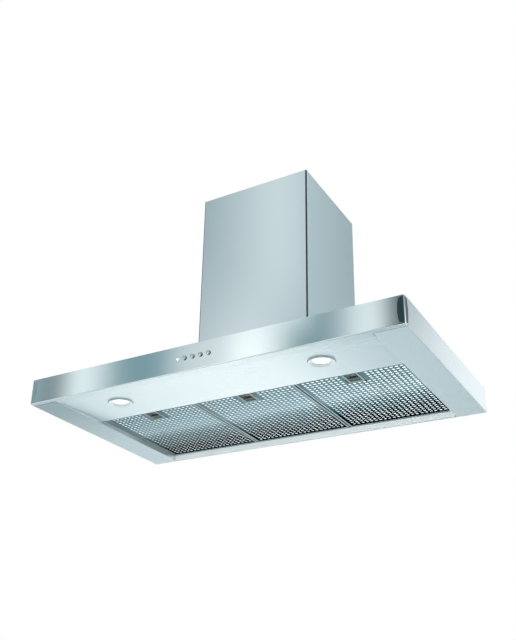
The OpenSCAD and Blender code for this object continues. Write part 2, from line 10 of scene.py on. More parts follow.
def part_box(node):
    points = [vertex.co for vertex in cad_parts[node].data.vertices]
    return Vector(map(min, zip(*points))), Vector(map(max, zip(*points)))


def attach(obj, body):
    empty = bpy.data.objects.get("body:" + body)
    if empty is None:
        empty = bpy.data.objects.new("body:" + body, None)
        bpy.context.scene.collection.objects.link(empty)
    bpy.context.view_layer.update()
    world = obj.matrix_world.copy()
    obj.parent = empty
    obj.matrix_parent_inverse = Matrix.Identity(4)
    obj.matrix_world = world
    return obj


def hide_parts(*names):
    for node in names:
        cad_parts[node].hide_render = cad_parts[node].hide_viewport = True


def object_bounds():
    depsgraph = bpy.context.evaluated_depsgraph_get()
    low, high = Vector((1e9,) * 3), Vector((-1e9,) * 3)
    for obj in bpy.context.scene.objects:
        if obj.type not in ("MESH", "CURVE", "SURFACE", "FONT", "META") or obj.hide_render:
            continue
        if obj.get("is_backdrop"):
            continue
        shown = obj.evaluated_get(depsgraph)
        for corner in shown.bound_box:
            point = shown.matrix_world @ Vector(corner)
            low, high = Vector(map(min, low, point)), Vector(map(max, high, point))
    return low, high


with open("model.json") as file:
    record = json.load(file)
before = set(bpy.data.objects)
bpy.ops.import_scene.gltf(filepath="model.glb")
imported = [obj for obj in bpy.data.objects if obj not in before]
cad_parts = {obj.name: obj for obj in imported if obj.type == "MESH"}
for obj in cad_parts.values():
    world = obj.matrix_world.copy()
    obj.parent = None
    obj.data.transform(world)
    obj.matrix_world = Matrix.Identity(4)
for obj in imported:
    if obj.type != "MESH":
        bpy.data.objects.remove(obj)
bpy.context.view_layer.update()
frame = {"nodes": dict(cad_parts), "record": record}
nodes = frame["nodes"]
SIDES = ("left", "centre", "right")

# ---------- node trees ----------


class Tree:
    """Small helper that adds shader nodes and links them."""

    def __init__(self, tree, clear=True):
        self.t = tree
        if clear:
            tree.nodes.clear()

    def add(self, kind, **values):
        node = self.t.nodes.new(kind)
        for key, value in values.items():
            setattr(node, key, value)
        return node

    def link(self, a, b):
        self.t.links.new(a, b)

    def coordinates(self, scale, rotation=(0, 0, 0)):
        source = self.add("ShaderNodeTexCoord")
        mapping = self.add("ShaderNodeMapping")
        mapping.inputs["Scale"].default_value = scale
        mapping.inputs["Rotation"].default_value = rotation
        self.link(source.outputs["Object"], mapping.inputs["Vector"])
        return mapping.outputs["Vector"]

    def noise(self, vector, scale=1.0, detail=3.0, rough=0.55):
        node = self.add("ShaderNodeTexNoise")
        node.inputs["Scale"].default_value = scale
        node.inputs["Detail"].default_value = detail
        node.inputs["Roughness"].default_value = rough
        self.link(vector, node.inputs["Vector"])
        return node.outputs["Fac"]

    def ramp(self, factor, stops):
        node = self.add("ShaderNodeValToRGB")
        ramp = node.color_ramp
        while len(ramp.elements) < len(stops):
            ramp.elements.new(0.5)
        for element, (position, color) in zip(ramp.elements, stops):
            element.position = position
            element.color = color if len(color) == 4 else (*color, 1)
        self.link(factor, node.inputs["Fac"])
        return node.outputs["Color"]

    def remap(self, value, low, high, to_low, to_high):
        node = self.add("ShaderNodeMapRange")
        limits = (("From Min", low), ("From Max", high), ("To Min", to_low), ("To Max", to_high))
        for name, number in limits:
            node.inputs[name].default_value = number
        self.link(value, node.inputs["Value"])
        return node.outputs["Result"]

    def math(self, operation, a, b=None):
        node = self.add("ShaderNodeMath", operation=operation)
        for socket, value in zip(node.inputs, (a, b)):
            if value is None:
                continue
            if isinstance(value, (int, float)):
                socket.default_value = value
            else:
                self.link(value, socket)
        return node.outputs["Value"]

    def shader(self, socket):
        """The named input of the tree's Principled shader."""
        return next(n for n in self.t.nodes if n.type == "BSDF_PRINCIPLED").inputs[socket]

    def bump(self, height, strength, distance):
        node = self.add("ShaderNodeBump")
        node.inputs["Strength"].default_value = strength
        node.inputs["Distance"].default_value = distance
        self.link(height, node.inputs["Height"])
        return node.outputs["Normal"]


def grey(v, tint=0.0):
    return (v * (1 - tint), v, v * (1 + tint * 0.4))


def shade(color, factor):
    return tuple(min(1, c * factor) for c in color)


def surface(name, color, metallic=0.0, rough=(0.4, 0.5), grain=(60, 60, 60), vary=0.06,
            bump=0.0, bump_size=0.0002, along=None, fade=None, **constants):
    """A finish whose colour, roughness and bump all follow noise in the object's own space.

    along is the brushing direction, fade an (axis, from, to, levels) change of tone that paints light
    and shade into the colour, and constants are set directly on the shader's sockets.
    """
    material = bpy.data.materials.new(name)
    material.use_nodes = True
    t = Tree(material.node_tree)
    out = t.add("ShaderNodeOutputMaterial")
    bsdf = t.add("ShaderNodeBsdfPrincipled")
    t.link(bsdf.outputs["BSDF"], out.inputs["Surface"])
    bsdf.inputs["Metallic"].default_value = metallic
    for key, value in constants.items():
        bsdf.inputs[key.replace("_", " ")].default_value = value
    streaks = t.noise(t.coordinates(grain), 1.0, 4.0, 0.6)
    cloud = t.noise(t.coordinates((7, 7, 7)), 1.0, 2.0, 0.5)
    both = t.math("ADD", t.math("MULTIPLY", streaks, 0.7), t.math("MULTIPLY", cloud, 0.3))
    tone = t.ramp(both, [(0.3, shade(color, 1 - vary)), (0.7, shade(color, 1 + vary))])
    # fade paints light and shade into the tone along one axis
    if fade:  # the tone changes along one axis
        axis_name, start, end, levels = fade
        place = t.add("ShaderNodeSeparateXYZ")
        t.link(t.coordinates((1, 1, 1)), place.inputs["Vector"])
        multiply = t.add("ShaderNodeMix", data_type="RGBA", blend_type="MULTIPLY")
        multiply.inputs["Factor"].default_value = 1
        along_axis = t.remap(place.outputs[axis_name], start, end, 0, 1)
        level = t.ramp(along_axis, [(p, grey(v, (1 - v) * 0.3)) for p, v in levels])
        t.link(tone, multiply.inputs[6])
        t.link(level, multiply.inputs[7])
        tone = multiply.outputs[2]
    t.link(tone, bsdf.inputs["Base Color"])
    t.link(t.remap(both, 0.3, 0.7, rough[0], rough[1]), bsdf.inputs["Roughness"])
    if bump:
        t.link(t.bump(streaks, bump, bump_size), bsdf.inputs["Normal"])
    if along:
        axis = t.add("ShaderNodeCombineXYZ")
        for socket, value in zip(axis.inputs, along):
            socket.default_value = value
        turn_to_world = t.add("ShaderNodeVectorTransform", vector_type="VECTOR",
                              convert_from="OBJECT", convert_to="WORLD")
        t.link(axis.outputs["Vector"], turn_to_world.inputs["Vector"])
        t.link(turn_to_world.outputs["Vector"], bsdf.inputs["Tangent"])
        bsdf.inputs["Anisotropic Rotation"].default_value = 0.25
    return material


X, Y = (1, 0, 0), (0, 1, 0)
FINE = 0.0001  # bump distance of fine grain, in metres
BRUSHED = dict(metallic=1.0, vary=0.015, bump=0.012, bump_size=FINE)
# Light and shade painted into a tone, changing along one axis: the axis, where the change starts and ends in
# metres, and the levels on the way. The filters' is painted shade, darkest near the wall, with a painted
# highlight band across the middle.
FILTER_PAINTED_LIGHT_AND_SHADE = ("Y", -0.316, -0.010, [(0.0, 0.50), (0.22, 0.62), (0.42, 0.80), (0.58, 0.30), (0.78, 0.07),
                                     (1.0, 0.04)])
# The lamp panel's is a painted highlight, brightest in the middle and darker towards both ends; the sheets
# beside it that look down share it.
PANEL_PAINTED_HIGHLIGHT = ("X", -0.385, 0.385, [(0.0, 0.66), (0.07, 0.84), (0.2, 0.93), (0.5, 1.0), (0.68, 0.98),
                                   (0.84, 0.83), (1.0, 0.68)])
# The left flange's is painted shade, darker towards the front.
LEFT_FLANGE_PAINTED_SHADE = ("Y", -0.5, 0.0, [(0.0, 0.60), (0.16, 0.63), (0.4, 0.80), (0.6, 0.90), (1.0, 0.90)])
M = {}


def finish(name, color, **options):
    M[name] = surface(name, color, **options)


# Sheet metal of the canopy and the chimney
finish("brushed_steel", (0.74, 0.825, 0.835), rough=(0.095, 0.11), grain=(3, 700, 700), along=X,
       Anisotropic=0.6, **BRUSHED)
finish("brushed_steel_side", (0.76, 0.835, 0.85), rough=(0.17, 0.19), grain=(700, 3, 700), along=Y,
       Anisotropic=0.6, **BRUSHED)
# The side flanges underneath take darker copies of the side steel: painted shade, the left one darker still
# towards the front.
finish("brushed_steel_flange_painted_shade", (0.50, 0.61, 0.635), rough=(0.22, 0.25), grain=(700, 3, 700), along=Y,
       Anisotropic=0.5, **BRUSHED)
finish("brushed_steel_left_painted_shade", (0.50, 0.61, 0.635), rough=(0.22, 0.25), grain=(700, 3, 700), along=Y,
       fade=LEFT_FLANGE_PAINTED_SHADE, Anisotropic=0.5, **BRUSHED)
finish("brushed_steel_upright", (0.68, 0.76, 0.78), rough=(0.17, 0.19), grain=(3, 700, 700), along=X,
       Anisotropic=0.6, **BRUSHED)
finish("ledge_steel", (0.50, 0.585, 0.60), metallic=1.0, rough=(0.3, 0.36), grain=(4, 500, 500),
       vary=0.02, bump=0.04, bump_size=FINE)
finish("satin_steel", (0.90, 0.935, 0.94), metallic=1.0, rough=(0.3, 0.36), grain=(4, 500, 500),
       vary=0.02, bump=0.05, bump_size=FINE, along=X, Anisotropic=0.6)

# Corner inlays, lamps and buttons
finish("corner_polish", (0.58, 0.68, 0.70), metallic=1.0, rough=(0.03, 0.035), grain=(300, 300, 6),
       vary=0.02)
# A darker copy of the polish for the inlay's part on the side face: painted shade.
finish("corner_polish_side_painted_shade", (0.10, 0.13, 0.15), metallic=1.0, rough=(0.03, 0.035), grain=(300, 300, 6),
       vary=0.02)
finish("lamp_ring", (0.76, 0.82, 0.83), metallic=0.96, rough=(0.4, 0.46), grain=(400, 400, 400),
       vary=0.02)
# A darker copy of the bezel metal: a painted shadow outline.
finish("lamp_edge_painted_shade", (0.30, 0.34, 0.35), metallic=0.6, rough=(0.4, 0.5), grain=(400, 400, 400), vary=0.05)
# A near-black finish for the buttons' side walls: painted shade, a dark crescent under each head.
finish("button_wall_painted_shade", (0.055, 0.07, 0.078), metallic=0.4, rough=(0.4, 0.5), grain=(600, 600, 600),
       vary=0.05)

# Lamp panel, ledge, edges and hidden sheet
# The lamp panel's colour carries a painted highlight along x.
finish("panel_steel", (0.80, 0.885, 0.895), metallic=1.0, rough=(0.26, 0.32), grain=(4, 500, 500),
       vary=0.01, bump=0.01, bump_size=FINE, along=X, fade=PANEL_PAINTED_HIGHLIGHT, Anisotropic=0.5)
# A bright, barely metallic copy of the ledge steel for its front-facing faces: painted light.
finish("ledge_face_painted_light", (0.84, 0.88, 0.885), metallic=0.2, rough=(0.3, 0.36), grain=(4, 500, 500), vary=0.02)
finish("polished_steel", (0.62, 0.70, 0.72), metallic=1.0, rough=(0.08, 0.12), grain=(300, 300, 6),
       vary=0.03)
# A near-black copy of the steel for the chimney's front vertical bends: a painted dark reflection.
finish("edge_painted_dark_reflection", (0.07, 0.085, 0.095), metallic=1.0, rough=(0.12, 0.16), grain=(300, 300, 6),
       vary=0.03)
finish("galvanised_steel", (0.55, 0.58, 0.59), metallic=0.9, rough=(0.42, 0.56), grain=(90, 90, 90),
       vary=0.12, bump=0.1, bump_size=FINE)

# Fittings, electrics and the blower
finish("satin_chrome", (0.76, 0.80, 0.81), metallic=1.0, rough=(0.2, 0.28), grain=(400, 400, 400),
       vary=0.03)
finish("frosted_glass", (0.80, 0.82, 0.815), rough=(0.25, 0.35), grain=(300, 300, 300), vary=0.01,
       Emission_Color=(1, 1, 0.985, 1))
finish("clear_plastic", (0.92, 0.95, 0.95), rough=(0.1, 0.14), grain=(400, 400, 400), vary=0.01,
       Emission_Color=(0.95, 1, 1, 1), Emission_Strength=1.5)
finish("black_plastic", (0.035, 0.04, 0.044), rough=(0.45, 0.6), grain=(700, 700, 700), vary=0.15,
       bump=0.15, bump_size=FINE)
finish("circuit_board", (0.03, 0.17, 0.09), rough=(0.3, 0.4), grain=(500, 500, 500), vary=0.15)
finish("button_chrome", (0.70, 0.76, 0.775), metallic=1.0, rough=(0.12, 0.18), grain=(600, 600, 600),
       vary=0.03)
finish("motor_paint", (0.05, 0.056, 0.062), rough=(0.35, 0.5), grain=(400, 400, 400), vary=0.15, bump=0.2,
       bump_size=FINE)
finish("machined_steel", (0.6, 0.62, 0.63), metallic=1.0, rough=(0.2, 0.3), grain=(900, 20, 900),
       vary=0.06)
finish("white_plastic", (0.78, 0.78, 0.74), rough=(0.4, 0.5), grain=(500, 500, 500), vary=0.02, bump=0.05,
       bump_size=FINE)
finish("grey_plastic", (0.14, 0.165, 0.18), rough=(0.45, 0.55), grain=(600, 600, 600), vary=0.08,
       bump=0.08, bump_size=FINE)

# Filters and latches
finish("filter_aluminium", (0.42, 0.52, 0.52), metallic=1.0, rough=(0.3, 0.42), grain=(5, 400, 400),
       vary=0.04, bump=0.05, bump_size=FINE)
# The filter face's colour carries painted shade towards the wall and a painted highlight band.
finish("filter_face_metal", (0.46, 0.59, 0.62), metallic=1.0, rough=(0.28, 0.34), grain=(300, 5, 300),
       vary=0.03, fade=FILTER_PAINTED_LIGHT_AND_SHADE, Specular_Tint=(0.25, 0.3, 0.32, 1))
finish("filter_mesh_metal", (0.87, 0.945, 0.955), metallic=0.1, rough=(0.4, 0.5), grain=(800, 800, 800),
       vary=0.02, bump=0.3, bump_size=0.0003)
finish("latch_plastic", (0.12, 0.165, 0.15), rough=(0.35, 0.45), grain=(600, 600, 600), vary=0.06,
       bump=0.06, bump_size=FINE)
finish("latch_metal", (0.028, 0.029, 0.027), rough=(0.35, 0.45), grain=(500, 500, 500), vary=0.1,
       bump=0.1, bump_size=FINE)

# The lamp glass glows in the middle and fades out before its rim.
glow_inner, glow_outer, glow_strength = 0.008, 0.0185, 0.85
glass = Tree(M["frosted_glass"].node_tree, clear=False)
place = glass.add("ShaderNodeSeparateXYZ")
glass.link(glass.coordinates((1, 1, 1)), place.inputs["Vector"])
lamp_spots = [sum(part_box("lamp_lens_" + name), Vector()) / 2 for name in ("left", "right")]
off_x = glass.math("SUBTRACT", place.outputs["X"], (lamp_spots[0].x + lamp_spots[1].x) / 2)
off_x = glass.math("SUBTRACT", glass.math("ABSOLUTE", off_x), (lamp_spots[1].x - lamp_spots[0].x) / 2)
off_y = glass.math("SUBTRACT", place.outputs["Y"], lamp_spots[0].y)
squares = [glass.math("MULTIPLY", part, part) for part in (off_x, off_y)]
off = glass.math("SQRT", glass.math("ADD", *squares))
glass.link(glass.remap(off, glow_inner, glow_outer, glow_strength, 0.0), glass.shader("Emission Strength"))

# Every CAD node gets its slot's finish; two get a finish of their own.
for row in frame["record"]["subparts"]:
    node = nodes[row["node"]]
    node.data.materials.clear()
    node.data.materials.append(M[row["material_slot"]])
nodes["lamp_panel"].data.materials[0] = M["panel_steel"]
ledge = nodes["filter_ledge"].data
ledge.materials[0] = M["ledge_steel"]
ledge.materials.append(M["ledge_face_painted_light"])
# Faces that look to the front take the bright copy: painted light.
for polygon in ledge.polygons:
    polygon.material_index = 1 if polygon.normal.y < -0.6 else 0

# ---------- mesh helpers, in millimetres ----------


def finish_mesh(name, bm, body, slot, replaces=(), angle=32, materials=None):
    """Turns a bmesh drawn in millimetres into a piece that rides on a body."""
    bmesh.ops.remove_doubles(bm, verts=bm.verts, dist=0.001)
    bmesh.ops.recalc_face_normals(bm, faces=bm.faces)
    bmesh.ops.scale(bm, vec=(0.001, 0.001, 0.001), verts=bm.verts)
    mesh = bpy.data.meshes.new(name)
    bm.to_mesh(mesh)
    bm.free()
    mesh.polygons.foreach_set("use_smooth", [True] * len(mesh.polygons))
    mesh.set_sharp_from_angle(angle=math.radians(angle))
    for m in materials or [M[slot]]:
        mesh.materials.append(m)
    piece = bpy.data.objects.new(name, mesh)
    bpy.context.scene.collection.objects.link(piece)
    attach(piece, body)
    if replaces:
        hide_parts(*replaces)
    return piece


BESIDE_BEND = 0.3  # a point this far past each bend keeps the flat faces' normals flat


def round_path(points, radii, steps=5):
    """The 2-D path through the points with its inner corners rounded."""
    out = [Vector(points[0])]
    for i in range(1, len(points) - 1):
        p, a, b = Vector(points[i]), Vector(points[i - 1]), Vector(points[i + 1])
        u, v = (a - p).normalized(), (b - p).normalized()
        r = radii[i - 1]
        if r <= 0:
            out.append(p)
            continue
        half = u.angle(v) / 2
        back = r / math.tan(half)
        centre = p + (u + v).normalized() * (r / math.sin(half))
        start, end = p + u * back - centre, p + v * back - centre
        out.append(p + u * (back + BESIDE_BEND))
        total = start.angle(end)
        for k in range(steps + 1):
            w = k / steps
            arm = start * math.sin((1 - w) * total) + end * math.sin(w * total)
            out.append(centre + arm / math.sin(total))
        out.append(p + v * (back + BESIDE_BEND))
    out.append(Vector(points[-1]))
    return out


def offset_path(points, distance):
    """The path moved sideways, to the left of its direction."""
    out = []
    for i, p in enumerate(points):
        before = (p - points[i - 1]).normalized() if i else (points[1] - p).normalized()
        after = (points[i + 1] - p).normalized() if i < len(points) - 1 else before
        n1, n2 = Vector((-before.y, before.x)), Vector((-after.y, after.x))
        n = (n1 + n2).normalized()
        out.append(p + n * (distance / max(0.3, n.dot(n1))))
    return out


def folded(points, radii, thickness, steps=5):
    """Closed outline of a folded sheet; the points run along its outer side, the sheet is on their left."""
    outer = round_path(points, radii, steps)
    return outer + offset_path(outer, thickness)[::-1]


def prism(bm, outline, start, end, place, material=0):
    """Extrudes a closed 2-D outline; place(u, v, w) gives the 3-D point."""
    rings = [[bm.verts.new(place(p[0], p[1], w)) for p in outline] for w in (start, end)]
    n = len(outline)
    for i in range(n):
        j = (i + 1) % n
        bm.faces.new((rings[0][i], rings[0][j], rings[1][j], rings[1][i])).material_index = material
    half = n // 2
    for ring in rings:
        for i in range(half - 1):
            bm.faces.new((ring[i], ring[i + 1], ring[n - 2 - i], ring[n - 1 - i])).material_index = material


def lathe(bm, profile, centre, axis, segments=64, material=0):
    """Turns a (radius, height) profile round an axis. Radius 0 closes with a fan."""
    axis = Vector(axis).normalized()
    side = axis.orthogonal().normalized()
    other = axis.cross(side)
    rings = []
    for r, h in profile:
        if r < 1e-6:
            rings.append([bm.verts.new(Vector(centre) + axis * h)])
        else:
            turns = [2 * math.pi * k / segments for k in range(segments)]
            arms = [(side * math.cos(a) + other * math.sin(a)) * r for a in turns]
            rings.append([bm.verts.new(Vector(centre) + axis * h + arm) for arm in arms])
    for a, b in zip(rings, rings[1:]):
        for k in range(segments):
            m = (k + 1) % segments
            if len(a) == 1 and len(b) == 1:
                continue
            if len(a) == 1:
                bm.faces.new((a[0], b[k], b[m])).material_index = material
            elif len(b) == 1:
                bm.faces.new((a[k], a[m], b[0])).material_index = material
            else:
                bm.faces.new((a[k], a[m], b[m], b[k])).material_index = material


def mm(node):
    low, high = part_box(node)
    return low * 1000, high * 1000


def soften(name, width, angle=30, segments=2):
    weld = nodes[name].modifiers.new("weld", "WELD")
    weld.merge_threshold = 0.00001
    bevel = nodes[name].modifiers.new("bevel", "BEVEL")
    bevel.width = width
    bevel.segments = segments
    bevel.limit_method = "ANGLE"
    bevel.angle_limit = math.radians(angle)
    bevel.harden_normals = True


for name in ("top_panel", "rear_panel", "lamp_panel", "filter_ledge", "chimney_upper", "chimney_bracket",
             "blower_box", "terminal_box", "switch_housing"):
    soften(name, 0.0003)
for s in SIDES:
    soften("filter_frame_" + s, 0.0003)
    soften("latch_pocket_" + s, 0.0004)
    soften("latch_slider_" + s, 0.0004)

# ---------- canopy skin ----------

hood_low, hood_high = mm("top_panel")
half_w, front, top = hood_high.x, hood_low.y, hood_low.z
flange, rear = mm("side_panel_right")[0].x, mm("side_panel_right")[1].y
strip = mm("front_fascia")[1].y - front
corner, corner_y = 16, 16  # reach of a corner piece along the front and along the side
edge_r = 3  # radius of the vertical corner
inlay_x, inlay_y = 15.6, 15.0  # reach of its polished inlay
hem = 10  # depth of the fold under the fascia
hem_seam = 1.0  # gap between that fold and the side flanges
strip_seam = 1.1  # gap between the strip behind the fold and the lamp panel
play = 0.4  # gap between sheets that meet edge to edge
bend = 2.0  # outer radius of the sheets' lower edges
bend_end = bend + 0.8
lip, lip_bend = 26, 1.6  # inner wall of a side flange
sheet = 1.2
underside = 0.3  # faces whose middle is lower than this look down
collar_step = 1.4  # how far a button's collar stands out past its head
hole_play = 0.3
indicator_r = 2.0
button_names = ("button_light", "button_low", "button_medium", "button_high")


def along_x(u, v, w):
    return (w, u, v)


def along_y(sign):
    return lambda u, v, w: (sign * u, w, v)


bm = bmesh.new()
outline = folded([(front + hem, 0), (front, 0), (front, top)], [bend], -sheet)
prism(bm, outline, -(half_w - corner), half_w - corner, along_x)
for face in bm.faces:
    face.material_index = 1 if face.calc_center_median().z < underside else 0
fascia = finish_mesh("fascia", bm, "hood", "brushed_steel", ["front_fascia"],
                     materials=[M["brushed_steel"], M["panel_steel"]])

# Holes through the fascia for the four buttons and the pilot light
button_r = (mm("button_light")[1].x - mm("button_light")[0].x) / 2 - collar_step
cut = 3
holes = [(n, button_r + hole_play, 48) for n in button_names]
holes.append(("indicator_lens", indicator_r, 32))
bm = bmesh.new()
for n, r, segments in holes:
    p = sum(mm(n), Vector()) / 2
    lathe(bm, [(0, -cut), (r, -cut), (r, cut), (0, cut)], (p.x, front, p.z), (0, 1, 0), segments)
bmesh.ops.recalc_face_normals(bm, faces=bm.faces)
bmesh.ops.scale(bm, vec=(0.001, 0.001, 0.001), verts=bm.verts)
cutter_mesh = bpy.data.meshes.new("cutter")
bm.to_mesh(cutter_mesh)
bm.free()
cutter = bpy.data.objects.new("cutter", cutter_mesh)
bpy.context.scene.collection.objects.link(cutter)
boolean = fascia.modifiers.new("holes", "BOOLEAN")
boolean.operation = "DIFFERENCE"
boolean.solver = "EXACT"
boolean.object = cutter
bpy.context.view_layer.update()
cut_mesh = bpy.data.meshes.new_from_object(fascia.evaluated_get(bpy.context.evaluated_depsgraph_get()))
fascia.modifiers.clear()
fascia.data = cut_mesh
bpy.data.objects.remove(cutter)

bm = bmesh.new()
seam = front + strip - strip_seam
outline = folded([(seam, 10), (seam, 0), (front + hem, 0)], [1.2], -sheet)
prism(bm, outline, -(flange - play), flange - play, along_x)
finish_mesh("fascia_return", bm, "hood", "brushed_steel", materials=[M["panel_steel"]])

for sign, name in ((-1, "left"), (1, "right")):
    bm = bmesh.new()
    outline = folded([(flange, lip), (flange, 0), (half_w, 0), (half_w, bend_end)], [lip_bend, bend], sheet)
    prism(bm, outline, front + hem + hem_seam, rear, along_y(sign))
    outline = [(half_w, bend_end), (half_w, top), (half_w - sheet, top), (half_w - sheet, bend_end)]
    prism(bm, outline, front + corner_y, rear, along_y(sign))
    for face in bm.faces:
        c = face.calc_center_median()
        if abs(c.x) < flange + 0.2:
            face.material_index = 2
        elif c.z < underside or abs(c.x) < flange + 3:
            face.material_index = 1
    # darker copies of the side steel under the flanges: painted shade
    below = M["brushed_steel_left_painted_shade" if sign < 0 else "brushed_steel_flange_painted_shade"]
    finish_mesh("side_skin_" + name, bm, "hood", "brushed_steel", ["side_panel_" + name],
                materials=[M["brushed_steel_side"], below, M["satin_steel"]])

# Corner pieces: a tight bend with a polished, D-shaped inlay that wraps round it
inlay_margin = 1.5  # height that is left above and below it
inlay_taper, inlay_end = 0.3, 0.86  # how much it narrows, and where its rounded ends start


def corner_outline(z, inset, depth):
    """Points at height z from the front face round to the side face, and whether the inlay is there."""
    middle, reach = (top + bend) / 2, (top - bend) / 2 - inlay_margin
    u = min(1, abs(z - middle) / reach)
    past_end = max(0, u - inlay_end) / (1 - inlay_end)
    bulge = (1 - inlay_taper * u * u) * math.sqrt(1 - past_end ** 2)
    w = edge_r + (inlay_x - edge_r) * bulge
    v = edge_r + (inlay_y - edge_r) * bulge
    x1, y1 = half_w - inset, front + inset
    points = [(half_w - corner, y1), (min(x1 - edge_r - 0.41, half_w - w), y1), (x1 - edge_r - 0.4, y1)]
    for k in range(9):
        a = math.pi / 2 * k / 8
        points.append((x1 - edge_r + edge_r * math.sin(a), y1 + edge_r - edge_r * math.cos(a)))
    inlay_back = max(y1 + edge_r + 0.41, min(front + depth - 0.2, front + v))
    points += [(x1, y1 + edge_r + 0.4), (x1, inlay_back), (x1, front + depth)]
    return points, u < 1


def smooth_steps(start, end, count):
    """Heights from start to end, closer together near both ends."""
    return [start + (end - start) * (1 - math.cos(math.pi * k / count)) / 2 for k in range(count + 1)]


for sign, name in ((-1, "left"), (1, "right")):
    bm = bmesh.new()
    quarter = [math.pi / 2 * k / 5 for k in range(1, 6)]
    levels = [(0, bend, hem)]
    levels += [(bend * (1 - math.cos(a)), bend * (1 - math.sin(a)), hem) for a in quarter]
    levels += [(bend + 0.001, 0, corner_y)]
    levels += [(z, 0, corner_y) for z in smooth_steps(bend + inlay_margin, top - inlay_margin, 32)]
    levels += [(top, 0, corner_y)]
    rings = []
    for z, inset, depth in levels:
        points, inlay = corner_outline(z, inset, depth)
        rings.append(([bm.verts.new((sign * x, y, z)) for x, y in points], inlay))
    # The inlay's part on the side face takes the darker copy of the polish: painted shade.
    for (a, first), (b, second) in zip(rings, rings[1:]):
        for k in range(len(a) - 1):
            face = bm.faces.new((a[k], a[k + 1], b[k + 1], b[k]))
            on_side = k > 10
            if 0 < k < len(a) - 2 and (first or second):
                face.material_index = 3 if on_side else 1
            else:
                face.material_index = 2 if on_side else 0
    inner = bm.verts.new((sign * (half_w - corner), front + hem, 0))
    bm.faces.new(rings[0][0] + [inner]).material_index = 4
    finish_mesh("corner_piece_" + name, bm, "hood", "polished_steel", ["corner_cap_" + name], angle=50,
                materials=[M["brushed_steel"], M["corner_polish"], M["brushed_steel_side"],
                           M["corner_polish_side_painted_shade"], M["panel_steel"]])

# ---------- chimney ----------

low, high = mm("chimney_lower")
edge_bend, wall_fold, fold_bend, cover_sheet = 3.0, 12, 1.5, 1.0
points = [(high.x - wall_fold, high.y), (high.x, high.y), (high.x, low.y),
          (low.x, low.y), (low.x, high.y), (low.x + wall_fold, high.y)]
outline = folded(points, [fold_bend, edge_bend, edge_bend, fold_bend], -cover_sheet, 8)
bm = bmesh.new()
prism(bm, outline, low.z, high.z, lambda u, v, w: (u, v, w))
# The narrow bend faces at the two front vertical edges take the near-black copy: a painted dark reflection
# line.
for face in bm.faces:
    c = face.calc_center_median()
    narrow = face.calc_area() < 2 * edge_bend * (high.z - low.z)
    if c.y < low.y + edge_bend and abs(c.x) > high.x - edge_bend and narrow:
        face.material_index = 1
finish_mesh("chimney_skin", bm, "hood", "brushed_steel_upright", ["chimney_lower"],
            materials=[M["brushed_steel_upright"], M["edge_painted_dark_reflection"]])

# ---------- buttons and lamps ----------

quarter = [math.pi / 2 * k / 6 for k in range(1, 7)]
for n in button_names:
    low, high = mm(n)
    c = (low + high) / 2
    body = n.replace("button_", "") + "_button"
    out = front - low.y
    bm = bmesh.new()
    r, rim = button_r, button_r + collar_step
    # the stem, the collar behind the fascia, the head's wall, its rounded edge and its crown
    profile = [(0, -16), (2.5, -16), (2.5, -4), (rim - 0.2, -4), (rim, -3.8), (rim, -1.8), (rim - 0.2, -1.6)]
    profile += [(r, -1.6), (r, out - 0.9)]
    for a in (math.pi / 2 * k / 5 for k in range(1, 6)):
        profile.append((r - 0.9 * (1 - math.cos(a)), out - 0.9 + 0.6 * math.sin(a)))
    profile += [((r - 0.9) * math.cos(a), out - 0.3 + 0.3 * math.sin(a)) for a in quarter[:-1]]
    profile += [(0, out)]
    lathe(bm, profile, (c.x, front, c.z), (0, -1, 0), 48)
    # The head's side wall takes the near-black finish: painted shade.
    for face in bm.faces:
        d = face.calc_center_median() - Vector((c.x, front, c.z))
        face.material_index = 1 if -d.y < out - 0.85 and Vector((d.x, d.z)).length > r - 0.3 else 0
    finish_mesh(n + "_skin", bm, body, "button_chrome", [n],
                materials=[M["button_chrome"], M["button_wall_painted_shade"]])

panel_rear, panel_run = 9, 155.7  # height of the lamp panel's rear edge, and its length
lamp_tilt = math.atan((panel_rear - mm("lamp_panel")[0].z) / panel_run)
up_axis = Vector((0, -math.sin(lamp_tilt), math.cos(lamp_tilt)))
lens_rise = 1.8 + 1.25  # the middle of the lens above the panel's underside
for name in ("left", "right"):
    lens = sum(mm("lamp_lens_" + name), Vector()) / 2
    base = lens - up_axis * lens_rise
    bm = bmesh.new()
    # the tube through the panel, the rim with its rounded edge, the inner cone and the lens seat
    profile = [(26.6, 8), (26.6, 0), (29, 0), (29, -0.9), (28.2, -1.5)]
    profile += [(28.2 - 1.2 * (1 - math.cos(a)), -1.5 - 1.5 * math.sin(a)) for a in quarter]
    profile += [(25, -3.0), (24.4, -2.8), (18.3, 1.1), (18, 1.3), (18, 1.78), (21.3, 1.78), (21.3, 8)]
    profile += [profile[0]]
    lathe(bm, profile, base, up_axis, 96)
    # The bezel's outer wall, its chamfer and a thin inner ring take the darker copy: a painted shadow
    # outline.
    for face in bm.faces:
        d = face.calc_center_median() - base
        height = d.dot(up_axis)
        radius = (d - up_axis * height).length
        face.material_index = 1 if radius > 27.5 and height < 0.5 or 17 < radius < 18.3 else 0
    finish_mesh("lamp_ring_" + name, bm, "hood", "satin_chrome", ["lamp_bezel_" + name],
                materials=[M["lamp_ring"], M["lamp_edge_painted_shade"]])

# ---------- filters ----------

columns, rows = 21, 25
pitch_x, pitch_y = 11.1, 11.4
hole_w, hole_l = 7.5, 7.8
first_row_in = 19  # the first row of holes behind the cassette's front edge
clear_columns, clear_rows = 2, 4  # holes left out each side of the latch and behind it
pocket_w, pocket_end, pocket_play = 27, 50, 1.4
foil_steps = (3.0, 6.0, 6.0)  # size of the creases in the three layers of foil
foil_crease = 0.3
latch_half_w, latch_depth = 20, 56  # no foil over the latch
coil_r, coil_wire, coil_turns = 1.2, 0.22, 6


